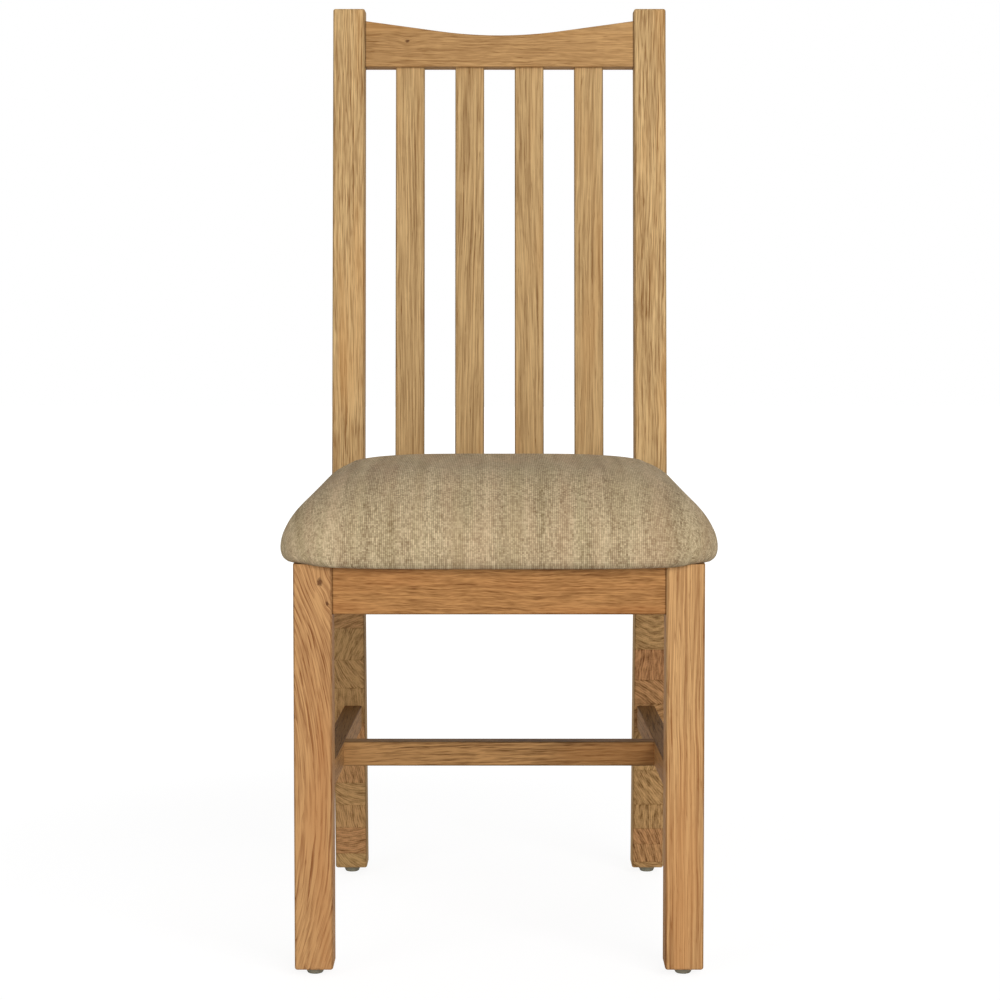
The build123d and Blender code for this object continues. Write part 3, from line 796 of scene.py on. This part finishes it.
# pale, dark and a warmer patch
HONEY = (tone(224, 188, 134), tone(134, 94, 52), tone(206, 154, 94))
SLAT = (tone(212, 176, 124), tone(134, 98, 58), tone(194, 148, 94))
CREST = (tone(206, 162, 108), tone(130, 90, 50), tone(194, 142, 84))
WARM = (tone(214, 168, 114), tone(140, 92, 52), tone(200, 142, 88))
RUSSET = (tone(204, 156, 104), tone(134, 84, 48), tone(186, 126, 76))
# the rails' oak, darkened as painted shade under the pad
SHADED_APRON = (tone(192, 140, 86), tone(116, 74, 38), tone(178, 114, 64))
DEEP = (tone(190, 144, 92), tone(106, 72, 40), tone(168, 116, 66))


def dress_wood():
    def dress(name, along, tones, seed, **extra):
        low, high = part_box(name)
        set_material(nodes[name], oak("oak_" + name, low, high, along, tones, seed, **extra))

    leg_top = FRAME_TOP - (FRONT_LEG_LOW.z + FRONT_LEG_HIGH.z) / 2
    front_joint = FRONT_LEG_LOW.x
    rear_joint = REAR_LEG_LOW.x
    knots = [
        (7.5 * MM, leg_top - 17.6 * MM, 3.8 * MM),
        (14.7 * MM, leg_top - 39 * MM, 2.4 * MM),
    ]
    dress("front_leg_left", "Z", RUSSET, 3.3, bow=0.95, slope=0.06, ring=4.4, figure=0.6,
          streak=0.85, knots=knots)
    dress("front_leg_right", "Z", WARM, 8.1, bow=-0.05, ring=2.6, figure=0.3, long=2.5)
    dress("rear_leg_left", "Z", HONEY, 2.2, slope=0.01, ring=2.8, bent=True, blocks=True,
          block_light=0.17)
    dress("rear_leg_right", "Z", HONEY, 5.7, slope=-0.012, ring=3.1, bent=True, blocks=True,
          light=0.08, fade=-0.17, block_light=0.04)
    dress("front_rail", "X", SHADED_APRON, 1.4, slope=0.01, ring=2.8, wavy=1.2, long=0.42,
          streak=0.85, shoulder=front_joint, fade=-0.06)
    dress("rear_rail", "X", SHADED_APRON, 6.2, slope=-0.02, ring=3.6, wavy=0.6, shoulder=rear_joint)
    dress("side_rail_left", "Y", SHADED_APRON, 2.9, ring=3.8, slope=0.02)
    dress("side_rail_right", "Y", SHADED_APRON, 7.4, ring=3.4, slope=-0.02)
    dress("side_stretcher_left", "Y", DEEP, 4.4, ring=3.0, top=0.5, light=0.2)
    dress("side_stretcher_right", "Y", DEEP, 9.3, ring=3.2, top=0.5, light=0.2)
    dress("cross_stretcher", "X", DEEP, 5.1, ring=3.0, slope=-0.03, wavy=0.8, long=0.7,
          streak=1.2, top=0.4, light=0.03, fade=-0.19)
    crest_knot = [(4 * MM, -107 * MM, 2.6 * MM)]
    dress("top_rail", "X", CREST, 3.7, slope=0.015, ring=3.4, figure=0.14, wavy=0.6, streak=0.62,
          long=0.55, knots=crest_knot, shoulder=rear_joint, light=0.03, fade=0.2)
    for number in range(1, 5):
        slope = (0.012, -0.02, 0.016, -0.01)[number - 1]
        light = (0.0, 0.07, 0.1, 0.03)[number - 1]
        name = f"back_slat_{number}"
        dress(name, "Z", SLAT, 1.9 * number, slope=slope, ring=2.4, figure=0.14, streak=0.9, long=1.6,
              light=light)


def dress_rest():
    blocks = (tone(206, 172, 124), tone(160, 120, 76), tone(190, 150, 100))
    for end in ("front", "rear"):
        for side in ("left", "right"):
            name = f"corner_block_{end}_{side}"
            low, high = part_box(name)
            wood = oak("wood_" + name, low, high, "X", blocks, 2.3, ring=2.8)
            set_material(nodes[name], wood)
            set_material(nodes[f"glide_{end}_{side}"], grey_plastic(f"glide_{end}_{side}"))
    low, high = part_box("seat_batten")
    set_material(nodes["seat_batten"], oak("wood_seat_batten", low, high, "X", blocks, 4.9, ring=3.2))
    steel = plain_steel("zinc_steel", tone(196, 192, 180))
    wire = plain_steel("staple_wire", tone(205, 205, 200), 0.28)
    for name in ("corner_block_screws", "seat_screws", "glide_nails"):
        set_material(nodes[name], steel)
    set_material(nodes["cover_staples"], wire)
    set_material(nodes["seat_board"], plywood("plywood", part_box("seat_board")[0]))
    set_material(nodes["seat_foam"], open_foam("foam"))


# Room, light and camera
FLOOR_GLOW = 1.16
FLOOR_NEAR, FLOOR_FAR = 0.76, 0.24  # share of the glow near the chair, and what distance adds
LENS = 86.84
CAMERA_BACK, CAMERA_HEIGHT = 2.3782, 0.6823  # in front of the front legs, above the floor
CAMERA_PITCH = 3.224  # degrees below level


def make_room():
    """A pale floor that fades into a white surround, so that only soft shadows show on it."""
    bm = bmesh.new()
    bmesh.ops.create_grid(bm, x_segments=8, y_segments=8, size=12.0)
    floor = mesh_object("floor", bm)
    finish = Finish("pale_floor")
    x, y, _ = finish.parts(finish.place())
    cloud = finish.noise(finish.vector(x * 0.8, y * 0.8, 0.0), detail=2.0)
    far = finish.smooth((x * x + y * y) ** 0.5, 0.6, 2.0)
    colour = finish.mix(cloud * 0.3, (0.86, 0.86, 0.86, 1.0), (0.82, 0.82, 0.82, 1.0))
    matt = finish.node("ShaderNodeBsdfDiffuse", None, {"Color": colour})
    glow = finish.node("ShaderNodeEmission", None, {"Strength": FLOOR_GLOW})
    seen = finish.node("ShaderNodeLightPath", None, None, "Is Camera Ray")
    share = seen * (FLOOR_NEAR + far * FLOOR_FAR)
    floor_look = finish.node("ShaderNodeMixShader", None, {0: share, 1: matt, 2: glow})
    finish.node("ShaderNodeOutputMaterial", None, {"Surface": floor_look})
    set_material(floor, finish.material)

    world = bpy.data.worlds.new("studio")
    bpy.context.scene.world = world
    world.use_nodes = True
    tree = world.node_tree
    tree.nodes.clear()
    out = tree.nodes.new("ShaderNodeOutputWorld")
    path = tree.nodes.new("ShaderNodeLightPath")
    choose = tree.nodes.new("ShaderNodeMixShader")
    for socket, strength in ((1, 0.35), (2, 1.0)):  # what lights the chair, what is seen
        background = tree.nodes.new("ShaderNodeBackground")
        background.inputs["Color"].default_value = (1.0, 1.0, 1.0, 1.0)
        background.inputs["Strength"].default_value = strength
        tree.links.new(background.outputs[0], choose.inputs[socket])
    tree.links.new(path.outputs["Is Camera Ray"], choose.inputs[0])
    tree.links.new(choose.outputs[0], out.inputs["Surface"])


def soft_light(name, place, target, size, power):
    light = bpy.data.lights.new(name, "AREA")
    light.shape = "RECTANGLE"
    light.size, light.size_y = size
    light.energy = power
    holder = bpy.data.objects.new(name, light)
    holder.location = place
    holder.rotation_euler = (Vector(target) - Vector(place)).to_track_quat("-Z", "Y").to_euler()
    bpy.context.scene.collection.objects.link(holder)


def make_lights():
    soft_light("key", (1.5, -3.3, 1.9), (0, 0, 0.5), (2.6, 2.0), 78)
    soft_light("fill", (-2.2, -2.7, 1.2), (0, 0, 0.5), (1.8, 1.8), 23)
    soft_light("back", (0.8, 3.0, 2.2), (0, 0, 0.6), (2.4, 1.6), 16)


def make_camera():
    camera = bpy.data.cameras.new("camera")
    camera.sensor_width = 36.0
    camera.lens = LENS
    camera.shift_x = -0.0016
    camera.shift_y = -0.07
    holder = bpy.data.objects.new("camera", camera)
    holder.location = (2.5 * MM, FRONT_FACE - CAMERA_BACK, CAMERA_HEIGHT)
    holder.rotation_euler = (math.radians(90 - CAMERA_PITCH), 0.0, 0.0)
    bpy.context.scene.collection.objects.link(holder)
    bpy.context.scene.camera = holder
    bpy.context.scene.view_settings.view_transform = "Standard"


make_camera()
make_cover()
make_dust_cover()
dress_wood()
dress_rest()
make_room()
make_lights()
